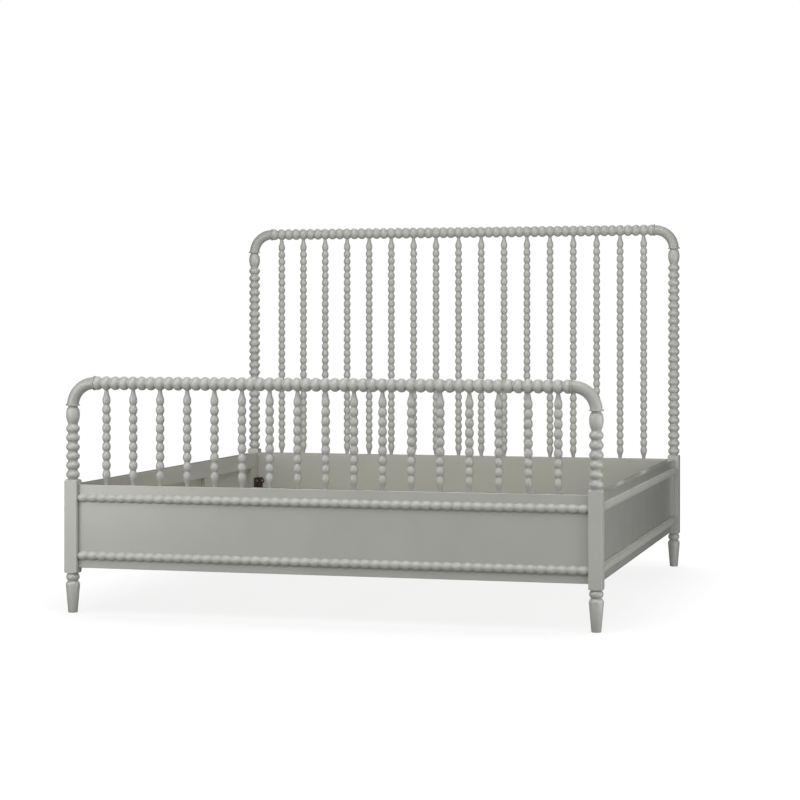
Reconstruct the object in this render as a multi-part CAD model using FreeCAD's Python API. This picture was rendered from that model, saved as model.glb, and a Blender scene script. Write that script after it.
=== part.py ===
import FreeCAD, Part
import math
import os

# A king-size bed with bobbin-turned posts, top rails and spindles, in millimetres.
# Origin on the floor under the middle of the bed, +X to the right seen from the foot,
# +Y towards the headboard, +Z up.

# Plan: the mattress sets how far apart the posts stand
mattress_width = 1930.0
mattress_length = 2032.0
mattress_side_gap = 7.5
mattress_end_gap = 8.45
block_width = 50.0

# Heights
leg_height = 149.4
block_height = 351.9
panel_rise = 20.1
panel_height = 314.0
head_rail_height = 1517.4
foot_rail_height = 865.3

# Boards: flush with the posts inside, set back from them outside
panel_recess = 17.0
panel_edge_round = 2.0
tenon_thickness = 12.0
tenon_shoulder = 30.0
tenon_length = 18.0
tenon_clearance = 0.2

# Turned leg under each post
leg_tip_diameter = 35.5
leg_tip_round = 2.5
leg_shoulder_diameter = 53.6
leg_shoulder_rise = 12.5
leg_shoulder_bulge_share = 0.62
leg_neck_diameter = 37.0
leg_flank_diameter = 39.5
leg_cove = 1.6
leg_ring_diameter = 50.6
leg_ring_length = 24.8
leg_ring_gap = 3.2
block_corner_drop = 10.5
block_corner_bulge_share = 0.72
block_flat_diameter = 51.0

# Turned column above each block
column_bead_diameter = 51.4
column_flank_diameter = 40.4
column_neck_diameter = 35.4
column_cove = 5.4
column_bead_pitch = 34.4
column_start_gap = 1.3
vase_length = 63.5
vase_diameter = 51.4
vase_crest_share = 0.53
vase_cove = 3.2
vase_flank_diameter = 37.0
vase_shoulder_drop = 4.5
vase_shoulder_diameter = 43.8
vase_top_neck = 5.4
post_tenon_diameter = 25.0
post_tenon_length = 30.0

# Bent elbow between a post and its top rail
elbow_diameter = 44.7
elbow_bend_radius = 85.5
collar_diameter = 54.2
collar_thickness = 5.2
collar_edge_round = 1.6
socket_clearance = 0.1
socket_end_gap = 0.6

# Top rails, beaded from elbow to elbow, with a spindle in every third bead
spindle_count = 17
beads_per_spindle = 3
beads_past_spindle = 1
rail_end_bead_share = 0.27
rail_bead_diameter = 51.6
rail_flank_diameter = 39.4
rail_neck_diameter = 35.6
rail_cove = 3.7
rail_tenon_diameter = 25.0
rail_tenon_length = 28.0

# Spindles
spindle_bead_diameter = 32.1
spindle_flank_diameter = 23.6
spindle_neck_diameter = 21.4
spindle_cove = 3.0
spindle_bead_pitch = 33.4
head_teardrop_length = 53.6
foot_teardrop_length = 55.8
teardrop_diameter = 30.1
teardrop_crest = 19.8
teardrop_waist_diameter = 22.6
teardrop_waist_share = 0.4
teardrop_hollow_share = 0.38
teardrop_tip_diameter = 14.4
spindle_tenon_diameter = 9.0
spindle_tenon_length = 16.0
spindle_socket_depth = 13.0
glue_gap = 0.1

# Half-round bobbin mouldings on the foot panel and the side rails
moulding_bead_diameter = 33.0
moulding_flank_diameter = 28.0
moulding_neck_diameter = 26.0
moulding_cove = 5.3
moulding_bead_pitch = 38.1
moulding_depth = 15.5
moulding_end_gap = 0.5
upper_moulding_rise = 263.8
lower_moulding_rise = 46.0

# Side rails: a frame with a thin panel in grooves, and stiffeners behind the panel
side_top_rail_height = 69.5
side_bottom_rail_height = 67.5
side_stile_width = 92.0
side_panel_recess = 6.0
side_panel_thickness = 10.0
side_groove_depth = 8.0
side_groove_clearance = 0.2
stiffener_width = 164.0
stiffener_offset = 389.0

# Slats on cleats and a centre beam
cleat_depth = 25.0
cleat_height = 30.0
cleat_rise = 20.5
cleat_end_gap = 60.0
slat_count = 14
slat_width = 70.0
slat_thickness = 20.0
slat_side_gap = 4.0
slat_end_gap = 65.0
slat_seat_gap = 0.3
slat_edge_round = 3.0
beam_width = 40.0
beam_height = 45.0
beam_wall = 2.5
beam_end_gap = 0.6
hanger_thickness = 3.0
hanger_seat_length = 40.0
hanger_side_gap = 0.3
hanger_plate_width = 92.0
hanger_cheek_height = 36.0
hanger_plate_height = 48.0
hanger_screw_spacing = 70.0
hanger_screw_rise = 36.0
webbing_width = 30.0
webbing_thickness = 1.5
webbing_spacing = 1000.0

# Steel corner brackets and their screws
bracket_thickness = 3.0
bracket_rail_leg = 57.0
bracket_panel_leg = 25.0
bracket_height = 106.0
bracket_rise = 91.5
bracket_ear_radius = 11.5
bracket_screw_from_corner = 22.0
bracket_screw_from_edge = 16.0
screw_diameter = 4.0
screw_length = 18.0
screw_head_diameter = 9.0
screw_head_height = 2.4
screw_flat_share = 0.4
screw_dome_share = 0.7
screw_clearance = 0.1

# Places worked out from the sizes above
cut_overrun = 1.0
half_block = block_width / 2
post_x = mattress_width / 2 + mattress_side_gap + half_block
post_y = mattress_length / 2 + mattress_end_gap + half_block
inner_x = post_x - half_block
inner_y = post_y - half_block
board_thickness = block_width - panel_recess
block_top = leg_height + block_height
panel_bottom = leg_height + panel_rise
panel_top = panel_bottom + panel_height
rail_end_x = post_x - elbow_bend_radius - collar_thickness
rail_bead_count = (spindle_count - 1) * beads_per_spindle + 2 * beads_past_spindle + 1
rail_bead_pitch = 2 * rail_end_x / (rail_bead_count - 1 + 2 * rail_end_bead_share)
spindle_pitch = rail_bead_pitch * beads_per_spindle
slat_bottom = panel_bottom + cleat_rise + cleat_height + slat_seat_gap
up = FreeCAD.Vector(0, 0, 1)
along_x = FreeCAD.Vector(1, 0, 0)
along_y = FreeCAD.Vector(0, 1, 0)
rail_height = {1: head_rail_height, -1: foot_rail_height}
end_name = {1: "head", -1: "foot"}
side_name = {1: "right", -1: "left"}
parts = {}


class HalfSection:
    """A lathe outline: radius against distance along the axis, drawn upwards and then spun."""

    def __init__(self, start):
        self.edges = []
        self.first = FreeCAD.Vector(0, 0, start)
        self.point = self.first

    def line(self, diameter, along):
        end = FreeCAD.Vector(diameter / 2, 0, along)
        self.edges.append(Part.makeLine(self.point, end))
        self.point = end

    def arc(self, middle_diameter, middle_along, diameter, along):
        middle = FreeCAD.Vector(middle_diameter / 2, 0, middle_along)
        end = FreeCAD.Vector(diameter / 2, 0, along)
        self.edges.append(Part.Arc(self.point, middle, end).toShape())
        self.point = end

    def beads(self, start, pitch, count, crest, flank, neck, cove):
        """A run of round beads with coved necks between them, from one outer flank to the other."""
        for number in range(count):
            base = start + number * pitch
            if number > 0:
                self.arc(neck, base, flank, base + cove)
            self.arc(crest, base + pitch / 2, flank, base + pitch - cove)

    def spin(self, end):
        """Closes the outline through the axis and makes the turned solid."""
        self.line(0, end)
        self.edges.append(Part.makeLine(self.point, self.first))
        face = Part.Face(Part.Wire(self.edges))
        return face.revolve(FreeCAD.Vector(0, 0, 0), up, 360)


def box(low_x, high_x, low_y, high_y, low_z, high_z):
    corner = FreeCAD.Vector(min(low_x, high_x), min(low_y, high_y), low_z)
    return Part.makeBox(abs(high_x - low_x), abs(high_y - low_y), high_z - low_z, corner)


def rod(diameter, length, start, direction):
    return Part.makeCylinder(diameter / 2, length, start, direction)


def moved(shape, x, y, z):
    copy = shape.copy()
    copy.translate(FreeCAD.Vector(x, y, z))
    return copy


def laid_along_x(shape):
    copy = shape.copy()
    copy.rotate(FreeCAD.Vector(0, 0, 0), along_y, 90)
    return copy


def fitted_beads(length, pitch):
    """How many beads of about this pitch fill a length, and the pitch that fills it exactly."""
    count = max(1, round(length / pitch))
    return count, length / count


def elbow_seat(end):
    return rail_height[end] - elbow_bend_radius


def end_board_y(end):
    """The inner and outer faces of a head or foot panel."""
    return end * inner_y, end * (inner_y + board_thickness)


def panel_tenon(end, side, clearance):
    """The stub tenon of an end panel in its post, grown by a clearance for the mortise."""
    inner, outer = end_board_y(end)
    middle = (inner + outer) / 2
    half = tenon_thickness / 2 + clearance
    low = panel_bottom + tenon_shoulder - clearance
    high = panel_top - tenon_shoulder + clearance
    start = side * (inner_x - clearance)
    tip = side * (inner_x + tenon_length + clearance)
    return box(start, tip, middle - half, middle + half, low, high)


def post_block():
    """The square block, with its corners turned away at both ends."""
    square = box(-half_block, half_block, -half_block, half_block, leg_height, block_top)
    corner = block_width * math.sqrt(2) + cut_overrun
    bulge = block_flat_diameter + (corner - block_flat_diameter) * block_corner_bulge_share
    drop = block_corner_drop * (1 - block_corner_bulge_share)
    turned = HalfSection(leg_height)
    turned.line(block_flat_diameter, leg_height)
    turned.arc(bulge, leg_height + drop, corner, leg_height + block_corner_drop)
    turned.line(corner, block_top - block_corner_drop)
    turned.arc(bulge, block_top - drop, block_flat_diameter, block_top)
    return square.common(turned.spin(block_top))


def post_turning(end):
    """Leg, core and column of one post as a single turning, with the elbow's tenon on top."""
    seat = elbow_seat(end)
    ring_end = leg_height - leg_ring_gap
    ring_start = ring_end - leg_ring_length
    shoulder_end = ring_start - 2 * leg_cove
    shoulder_start = shoulder_end - leg_shoulder_rise
    shoulder_bulge = leg_shoulder_diameter - leg_flank_diameter
    turning = HalfSection(0)
    turning.line(leg_tip_diameter - leg_tip_round * 2, 0)
    turning.line(leg_tip_diameter, leg_tip_round)
    turning.line(leg_shoulder_diameter, shoulder_start)
    turning.arc(
        leg_flank_diameter + shoulder_bulge * leg_shoulder_bulge_share,
        shoulder_start + leg_shoulder_rise * leg_shoulder_bulge_share,
        leg_flank_diameter,
        shoulder_end,
    )
    turning.arc(leg_neck_diameter, shoulder_end + leg_cove, leg_flank_diameter, ring_start)
    turning.arc(leg_ring_diameter, ring_start + leg_ring_length / 2, leg_flank_diameter, ring_end)
    turning.line(leg_neck_diameter, leg_height)
    turning.line(column_neck_diameter, leg_height)
    column_start = block_top + column_start_gap
    column_end = seat - vase_top_neck - vase_length
    count, pitch = fitted_beads(column_end - column_start, column_bead_pitch)
    turning.line(column_neck_diameter, column_start)
    turning.line(column_flank_diameter, column_start + column_cove)
    turning.beads(
        column_start,
        pitch,
        count,
        column_bead_diameter,
        column_flank_diameter,
        column_neck_diameter,
        column_cove,
    )
    vase_end = column_end + vase_length
    turning.arc(column_neck_diameter, column_end, vase_flank_diameter, column_end + vase_cove)
    turning.arc(
        vase_diameter,
        column_end + vase_length * vase_crest_share,
        vase_shoulder_diameter,
        vase_end - vase_shoulder_drop,
    )
    turning.line(column_neck_diameter, vase_end)
    turning.line(column_neck_diameter, seat)
    turning.line(post_tenon_diameter, seat)
    turning.line(post_tenon_diameter, seat + post_tenon_length)
    return turning.spin(seat + post_tenon_length)


def make_posts():
    for end in (1, -1):
        blank = post_turning(end).fuse(post_block()).removeSplitter()
        for side in (-1, 1):
            post = moved(blank, side * post_x, end * post_y, 0)
            mortise = panel_tenon(end, side, tenon_clearance)
            parts[f"{end_name[end]}_post_{side_name[side]}"] = post.cut(mortise)


def collar(start, direction):
    disc = rod(collar_diameter, collar_thickness, start, direction)
    return disc.makeFillet(collar_edge_round, [edge for edge in disc.Edges if edge.Closed])


def right_elbow(end):
    """A quarter bend with a thin collar at each end, bored for the tenons of post and rail."""
    seat = elbow_seat(end)
    foot = FreeCAD.Vector(post_x, 0, seat)
    rail_face = FreeCAD.Vector(rail_end_x, 0, rail_height[end])
    section = Part.Face(Part.Wire(Part.makeCircle(elbow_diameter / 2, foot, up)))
    centre = FreeCAD.Vector(post_x - elbow_bend_radius, 0, seat)
    bend = section.revolve(centre, along_y, -90)
    body = bend.fuse(collar(foot, up)).fuse(collar(rail_face, along_x))
    post_bore = rod(
        post_tenon_diameter + socket_clearance * 2, post_tenon_length + socket_end_gap, foot, up
    )
    rail_bore = rod(
        rail_tenon_diameter + socket_clearance * 2,
        rail_tenon_length + socket_end_gap,
        rail_face,
        along_x,
    )
    return body.removeSplitter().cut(post_bore).cut(rail_bore)


def make_elbows():
    for end in (1, -1):
        right = right_elbow(end)
        left = right.copy()
        left.rotate(FreeCAD.Vector(0, 0, 0), up, 180)
        for side, shape in ((-1, left), (1, right)):
            parts[f"{end_name[end]}_elbow_{side_name[side]}"] = moved(shape, 0, end * post_y, 0)


def spindle_places():
    middle = (spindle_count - 1) / 2
    return [(number - middle) * spindle_pitch for number in range(spindle_count)]


def rail_turning():
    """A beaded top rail on the Z axis, with a tenon at each end."""
    pitch = rail_bead_pitch
    half = rail_end_x
    outer_crest = (rail_bead_count - 1) / 2 * pitch
    reach = pitch / 2 - rail_cove
    bulge = rail_bead_diameter - rail_flank_diameter
    end_diameter = rail_bead_diameter - bulge * (pitch * rail_end_bead_share / reach) ** 2
    turning = HalfSection(-half - rail_tenon_length)
    turning.line(rail_tenon_diameter, -half - rail_tenon_length)
    turning.line(rail_tenon_diameter, -half)
    turning.line(end_diameter, -half)
    turning.arc(rail_bead_diameter, -outer_crest, rail_flank_diameter, reach - outer_crest)
    for number in range(1, rail_bead_count - 1):
        crest = number * pitch - outer_crest
        turning.arc(rail_neck_diameter, crest - pitch / 2, rail_flank_diameter, crest - reach)
        turning.arc(rail_bead_diameter, crest, rail_flank_diameter, crest + reach)
    turning.arc(rail_neck_diameter, outer_crest - pitch / 2, rail_flank_diameter, outer_crest - reach)
    turning.arc(rail_bead_diameter, outer_crest, end_diameter, half)
    turning.line(rail_tenon_diameter, half)
    turning.line(rail_tenon_diameter, half + rail_tenon_length)
    return turning.spin(half + rail_tenon_length)


def make_top_rails():
    turned = laid_along_x(rail_turning())
    for end in (1, -1):
        rail = moved(turned, 0, end * post_y, rail_height[end])
        underside = rail_height[end] - rail_bead_diameter / 2
        bores = [
            rod(
                teardrop_tip_diameter + glue_gap * 2,
                spindle_socket_depth + socket_end_gap + cut_overrun,
                FreeCAD.Vector(x, end * post_y, underside - cut_overrun),
                up,
            )
            for x in spindle_places()
        ]
        parts[f"{end_name[end]}_top_rail"] = rail.cut(Part.makeCompound(bores))


def spindle_turning(end):
    """One spindle: a tenon, a teardrop, round beads, a teardrop and a plain tip for the rail."""
    teardrop = {1: head_teardrop_length, -1: foot_teardrop_length}[end]
    top = rail_height[end] - rail_bead_diameter / 2
    low_neck = panel_top + teardrop
    high_neck = top - teardrop
    count, pitch = fitted_beads(high_neck - low_neck, spindle_bead_pitch)
    waist = teardrop_crest + (teardrop - teardrop_crest) * teardrop_waist_share
    flare = teardrop_waist_diameter - teardrop_tip_diameter
    hollow = teardrop_tip_diameter + flare * teardrop_hollow_share
    hollow_at = (teardrop + waist) / 2
    turning = HalfSection(panel_top - spindle_tenon_length)
    turning.line(spindle_tenon_diameter, panel_top - spindle_tenon_length)
    turning.line(spindle_tenon_diameter, panel_top)
    turning.line(teardrop_tip_diameter, panel_top)
    turning.arc(hollow, low_neck - hollow_at, teardrop_waist_diameter, low_neck - waist)
    turning.arc(
        teardrop_diameter, low_neck - teardrop_crest, spindle_flank_diameter, low_neck - spindle_cove
    )
    turning.arc(spindle_neck_diameter, low_neck, spindle_flank_diameter, low_neck + spindle_cove)
    turning.beads(
        low_neck,
        pitch,
        count,
        spindle_bead_diameter,
        spindle_flank_diameter,
        spindle_neck_diameter,
        spindle_cove,
    )
    turning.arc(spindle_neck_diameter, high_neck, spindle_flank_diameter, high_neck + spindle_cove)
    turning.arc(teardrop_diameter, high_neck + teardrop_crest, teardrop_waist_diameter, high_neck + waist)
    turning.arc(hollow, high_neck + hollow_at, teardrop_tip_diameter, top)
    turning.line(teardrop_tip_diameter, top + spindle_socket_depth)
    return turning.spin(top + spindle_socket_depth)


def make_spindles():
    for end in (1, -1):
        turned = spindle_turning(end)
        for number, x in enumerate(spindle_places(), start=1):
            parts[f"{end_name[end]}_spindle_{number:02d}"] = moved(turned, x, end * post_y, 0)


def bracket_screws():
    """Each bracket screw as the point under its head and the way it is driven."""
    found = []
    low = panel_bottom + bracket_rise + bracket_screw_from_edge
    high = panel_bottom + bracket_rise + bracket_height - bracket_screw_from_edge
    for side in (-1, 1):
        for end in (-1, 1):
            for z in (low, high):
                rail_x = side * (inner_x - bracket_thickness)
                rail_y = end * (inner_y - bracket_screw_from_corner)
                found.append((FreeCAD.Vector(rail_x, rail_y, z), along_x * side))
                panel_x = side * (inner_x - bracket_screw_from_corner)
                panel_y = end * (inner_y - bracket_thickness)
                found.append((FreeCAD.Vector(panel_x, panel_y, z), along_y * end))
    return found


def hanger_screws():
    """The two screws that hold each beam hanger to its panel."""
    x = hanger_screw_spacing / 2
    y = inner_y - hanger_thickness
    z = slat_bottom - slat_seat_gap - beam_height + hanger_screw_rise
    return [
        (FreeCAD.Vector(side * x, end * y, z), along_y * end)
        for side in (-1, 1)
        for end in (-1, 1)
    ]


def all_screws():
    return bracket_screws() + hanger_screws()


def screw_bores():
    """Clearance bores for every screw, to cut from the plates and boards that they pass through."""
    bores = [
        rod(screw_diameter + screw_clearance * 2, screw_length + socket_end_gap, point, way)
        for point, way in all_screws()
    ]
    return Part.makeCompound(bores)


def screw_turning():
    """A pan-head screw on the Z axis, with the underside of its head at zero."""
    flat = screw_head_diameter * screw_flat_share
    bulge = flat + (screw_head_diameter - flat) * screw_dome_share
    turning = HalfSection(-screw_length)
    turning.line(screw_diameter, -screw_length)
    turning.line(screw_diameter, 0)
    turning.line(screw_head_diameter, 0)
    turning.arc(bulge, screw_head_height * screw_dome_share, flat, screw_head_height)
    return turning.spin(screw_head_height)


def make_screws():
    blank = screw_turning()
    screws = []
    for point, way in all_screws():
        screw = blank.copy()
        screw.Placement = FreeCAD.Placement(point, FreeCAD.Rotation(up, way * -1))
        screws.append(screw)
    parts["bracket_screws"] = Part.makeCompound(screws)


def end_panel(end):
    """A board between two posts, tenoned into them, with a row of spindle holes in its top edge."""
    inner, outer = end_board_y(end)
    board = box(-inner_x, inner_x, inner, outer, panel_bottom, panel_top)
    top_edges = [
        edge
        for edge in board.Edges
        if edge.BoundBox.ZMin > panel_top - panel_edge_round and edge.BoundBox.XLength > inner_x
    ]
    board = board.makeFillet(panel_edge_round, top_edges)
    for side in (-1, 1):
        board = board.fuse(panel_tenon(end, side, 0))
    bores = [
        rod(
            spindle_tenon_diameter + glue_gap * 2,
            spindle_tenon_length + socket_end_gap,
            FreeCAD.Vector(x, end * post_y, panel_top - spindle_tenon_length - socket_end_gap),
            up,
        )
        for x in spindle_places()
    ]
    return board.removeSplitter().cut(Part.makeCompound(bores)).cut(screw_bores())


def moulding(length):
    """A bobbin moulding on the X axis: beads turned in the round, then sawn to a little under half."""
    usable = length - 2 * moulding_end_gap
    count, pitch = fitted_beads(usable, moulding_bead_pitch)
    turning = HalfSection(-usable / 2)
    turning.line(moulding_neck_diameter, -usable / 2)
    turning.line(moulding_flank_diameter, moulding_cove - usable / 2)
    turning.beads(
        -usable / 2,
        pitch,
        count,
        moulding_bead_diameter,
        moulding_flank_diameter,
        moulding_neck_diameter,
        moulding_cove,
    )
    turning.line(moulding_neck_diameter, usable / 2)
    turned = laid_along_x(turning.spin(usable / 2))
    radius = moulding_bead_diameter / 2
    face = moulding_depth - radius
    kept = box(-length, length, -radius - cut_overrun, face, -length, length)
    return moved(turned.common(kept), 0, -face, 0)


def make_end_panels():
    parts["head_panel"] = end_panel(1)
    parts["foot_panel"] = end_panel(-1)
    strip = moulding(2 * inner_x)
    outer = end_board_y(-1)[1]
    parts["foot_mouldings"] = Part.makeCompound(
        [
            moved(strip, 0, outer, panel_bottom + rise)
            for rise in (upper_moulding_rise, lower_moulding_rise)
        ]
    )


def side_panel_box(side, grow, edge):
    """The side rail's panel, reaching by edge into its grooves and grown in thickness."""
    outer = inner_x + board_thickness - side_panel_recess
    opening = inner_y - side_stile_width + edge
    return box(
        side * (outer - side_panel_thickness - grow),
        side * (outer + grow),
        -opening,
        opening,
        panel_bottom + side_bottom_rail_height - edge,
        panel_top - side_top_rail_height + edge,
    )


def side_frame(side):
    """Rails, stiles and stiffeners of one side rail, grooved for the panel."""
    inner = side * inner_x
    outer = side * (inner_x + board_thickness)
    low = panel_bottom + side_bottom_rail_height
    high = panel_top - side_top_rail_height
    groove = side_panel_box(side, side_groove_clearance, side_groove_depth + side_groove_clearance)
    boards = [
        box(inner, outer, -inner_y, inner_y, high, panel_top),
        box(inner, outer, -inner_y, inner_y, panel_bottom, low),
    ]
    for end in (-1, 1):
        stile_edge = end * (inner_y - side_stile_width)
        boards.append(box(inner, outer, stile_edge, end * inner_y, low, high))
    boards = [board.cut(groove) for board in boards]
    back = side * (inner_x + board_thickness - side_panel_recess - side_panel_thickness)
    for end in (-1, 1):
        near = end * stiffener_offset - stiffener_width / 2
        boards.append(box(inner, back, near, near + stiffener_width, low, high))
    bores = screw_bores()
    return Part.makeCompound([board.cut(bores) for board in boards])


def make_side_rails():
    strip = moulding(2 * inner_y)
    strip.rotate(FreeCAD.Vector(0, 0, 0), up, 90)
    for side in (-1, 1):
        name = side_name[side]
        parts[f"side_frame_{name}"] = side_frame(side)
        parts[f"side_panel_{name}"] = side_panel_box(side, 0, side_groove_depth)
        turned = strip.copy()
        if side < 0:
            turned.rotate(FreeCAD.Vector(0, 0, 0), up, 180)
        outer = side * (inner_x + board_thickness)
        parts[f"side_mouldings_{name}"] = Part.makeCompound(
            [
                moved(turned, outer, 0, panel_bottom + rise)
                for rise in (upper_moulding_rise, lower_moulding_rise)
            ]
        )


def corner_bracket(side, end):
    """An L of steel plate in an inside corner, with rounded ears at its panel screws."""
    low = panel_bottom + bracket_rise
    high = low + bracket_height
    corner_x = side * inner_x
    corner_y = end * inner_y
    face_x = side * (inner_x - bracket_thickness)
    face_y = end * (inner_y - bracket_thickness)
    rail_leg = box(corner_x, face_x, corner_y, end * (inner_y - bracket_rail_leg), low, high)
    panel_leg = box(corner_x, side * (inner_x - bracket_panel_leg), corner_y, face_y, low, high)
    plate = rail_leg.fuse(panel_leg)
    for z in (low + bracket_screw_from_edge, high - bracket_screw_from_edge):
        centre = FreeCAD.Vector(side * (inner_x - bracket_screw_from_corner), face_y, z)
        plate = plate.fuse(rod(bracket_ear_radius * 2, bracket_thickness, centre, along_y * end))
    return plate.removeSplitter().cut(screw_bores())


def make_brackets():
    parts["corner_brackets"] = Part.makeCompound(
        [corner_bracket(side, end) for side in (-1, 1) for end in (-1, 1)]
    )


def make_cleats():
    low = panel_bottom + cleat_rise
    reach = inner_y - cleat_end_gap
    parts["slat_cleats"] = Part.makeCompound(
        [
            box(side * inner_x, side * (inner_x - cleat_depth), -reach, reach, low, low + cleat_height)
            for side in (-1, 1)
        ]
    )


def beam_hanger(end):
    """A steel saddle on an end panel: back plate, seat and two cheeks."""
    seat = slat_bottom - slat_seat_gap - beam_height
    low = seat - hanger_thickness
    half = beam_width / 2 + hanger_side_gap
    wide = half + hanger_thickness
    wall = end * inner_y
    face = end * (inner_y - hanger_thickness)
    tip = end * (inner_y - hanger_thickness - hanger_seat_length)
    half_plate = hanger_plate_width / 2
    saddle = box(-half_plate, half_plate, wall, face, low, low + hanger_plate_height)
    saddle = saddle.fuse(box(-wide, wide, face, tip, low, seat))
    for side in (-1, 1):
        saddle = saddle.fuse(box(side * half, side * wide, face, tip, low, seat + hanger_cheek_height))
    return saddle.removeSplitter().cut(screw_bores())


def make_beam():
    top = slat_bottom - slat_seat_gap
    half = beam_width / 2
    reach = inner_y - hanger_thickness - beam_end_gap
    tube = box(-half, half, -reach, reach, top - beam_height, top)
    hollow = box(
        beam_wall - half,
        half - beam_wall,
        -reach - cut_overrun,
        reach + cut_overrun,
        top - beam_height + beam_wall,
        top - beam_wall,
    )
    parts["centre_beam"] = tube.cut(hollow)
    parts["beam_hangers"] = Part.makeCompound([beam_hanger(end) for end in (-1, 1)])


def make_slats():
    half_x = inner_x - slat_side_gap
    half_slat = slat_width / 2
    reach = inner_y - slat_end_gap - half_slat
    pitch = 2 * reach / (slat_count - 1)
    slat = box(-half_x, half_x, -half_slat, half_slat, slat_bottom, slat_bottom + slat_thickness)
    long_edges = [edge for edge in slat.Edges if edge.BoundBox.XLength > half_x]
    slat = slat.makeFillet(slat_edge_round, long_edges)
    parts["slats"] = Part.makeCompound(
        [moved(slat, 0, number * pitch - reach, 0) for number in range(slat_count)]
    )
    half_web = webbing_width / 2
    ends = reach + half_slat - slat_edge_round
    strap = box(-half_web, half_web, -ends, ends, slat_bottom - webbing_thickness, slat_bottom)
    parts["slat_webbing"] = Part.makeCompound(
        [moved(strap, side * webbing_spacing / 2, 0, 0) for side in (-1, 1)]
    )


make_posts()
make_elbows()
make_top_rails()
make_spindles()
make_end_panels()
make_side_rails()
make_brackets()
make_screws()
make_cleats()
make_beam()
make_slats()

os.makedirs("parts", exist_ok=True)
for node, shape in parts.items():
    shape.exportStep(f"parts/{node}.step")
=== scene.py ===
import math

import bmesh
import bpy
from mathutils import Matrix, Vector


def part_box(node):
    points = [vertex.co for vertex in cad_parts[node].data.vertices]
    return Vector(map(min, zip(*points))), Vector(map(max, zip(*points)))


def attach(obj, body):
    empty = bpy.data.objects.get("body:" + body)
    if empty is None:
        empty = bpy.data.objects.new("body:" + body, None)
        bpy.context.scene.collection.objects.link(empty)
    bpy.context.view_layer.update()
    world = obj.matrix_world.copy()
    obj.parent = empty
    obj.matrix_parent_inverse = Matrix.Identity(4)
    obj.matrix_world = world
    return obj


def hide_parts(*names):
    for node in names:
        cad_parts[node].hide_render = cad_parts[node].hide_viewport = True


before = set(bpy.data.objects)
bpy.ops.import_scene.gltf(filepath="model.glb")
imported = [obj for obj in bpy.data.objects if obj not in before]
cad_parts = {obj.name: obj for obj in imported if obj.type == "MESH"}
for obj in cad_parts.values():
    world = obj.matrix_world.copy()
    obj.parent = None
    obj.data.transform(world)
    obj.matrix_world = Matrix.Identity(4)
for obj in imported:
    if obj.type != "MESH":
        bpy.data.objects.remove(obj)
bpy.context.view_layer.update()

# Blender's unit is the metre
MM = 0.001
AXES = "XYZ"
FRAME_BODY = "bed_frame"
SLAT_BODY = "slat_set"
ENDS = ("head", "foot")
SIDES = {"left": -1, "right": 1}
SPINDLES = 17

# Posts
BLOCK_HALF = 25.0 * MM
BLOCK_BOTTOM = 149.4 * MM
BLOCK_TOP = 501.3 * MM
BLOCK_CORNER_DROP = 10.5 * MM
BLOCK_CORNER_BULGE_SHARE = 0.72
BLOCK_FLAT_RADIUS = 25.5 * MM
BLOCK_ARRIS = 1.6 * MM
BLOCK_SIDE_SHARES = (-1.0, -0.985, -0.96, -0.9, -0.7, -0.35, 0.0, 0.35, 0.7, 0.9, 0.96, 0.985)
LEG_TIP_RADIUS = 17.75 * MM
LEG_TIP_ROUND = 2.5 * MM
LEG_SHOULDER_RADIUS = 26.8 * MM
LEG_SHOULDER_RISE = 12.5 * MM
LEG_BULGE_SHARE = 0.62
LEG_FLANK_RADIUS = 19.75 * MM
LEG_NECK_RADIUS = 18.5 * MM
LEG_COVE = 1.6 * MM
LEG_RING_RADIUS = 25.3 * MM
LEG_RING_LENGTH = 24.8 * MM
LEG_RING_GAP = 3.2 * MM
COLUMN_CREST = 25.7 * MM
COLUMN_FLANK = 20.2 * MM
COLUMN_NECK = 17.7 * MM
COLUMN_COVE = 5.4 * MM
COLUMN_PITCH = 34.4 * MM
COLUMN_START_GAP = 1.3 * MM
VASE_LENGTH = 63.5 * MM
VASE_CREST_SHARE = 0.53
VASE_COVE = 3.2 * MM
VASE_FLANK = 18.5 * MM
VASE_SHOULDER_DROP = 4.5 * MM
VASE_SHOULDER = 21.9 * MM
VASE_TOP_NECK = 5.4 * MM
POST_TENON_LENGTH = 30.0 * MM

# Elbows and top rails
ELBOW_RADIUS = 22.35 * MM
ELBOW_BEND = 85.5 * MM
COLLAR_RADIUS = 27.1 * MM
COLLAR_LENGTH = 5.2 * MM
COLLAR_ROUND = 1.6 * MM
RAIL_CREST = 25.8 * MM
RAIL_FLANK = 19.7 * MM
RAIL_NECK = 17.8 * MM
RAIL_COVE = 3.7 * MM
RAIL_TENON_LENGTH = 28.0 * MM
RAIL_BEADS = 51
RAIL_BEADS_PER_SPINDLE = 3

# Spindles
SPINDLE_CREST = 16.05 * MM
SPINDLE_FLANK = 11.8 * MM
SPINDLE_NECK = 10.7 * MM
SPINDLE_COVE = 3.0 * MM
SPINDLE_PITCH = 33.4 * MM
SPINDLE_TENON_LENGTH = 16.0 * MM
SPINDLE_SOCKET_DEPTH = 13.0 * MM
TEARDROP_LENGTH = {"head": 53.6 * MM, "foot": 55.8 * MM}
TEARDROP_RADIUS = 15.05 * MM
TEARDROP_CREST = 19.8 * MM
TEARDROP_WAIST_RADIUS = 11.3 * MM
TEARDROP_WAIST_SHARE = 0.4
TEARDROP_TIP_RADIUS = 7.2 * MM
TEARDROP_HOLLOW_SHARE = 0.38

# Mouldings
MOULDING_CREST = 16.5 * MM
MOULDING_FLANK = 14.0 * MM
MOULDING_NECK = 13.0 * MM
MOULDING_COVE = 5.3 * MM
MOULDING_PITCH = 38.1 * MM
MOULDING_DEPTH = 15.5 * MM

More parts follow.
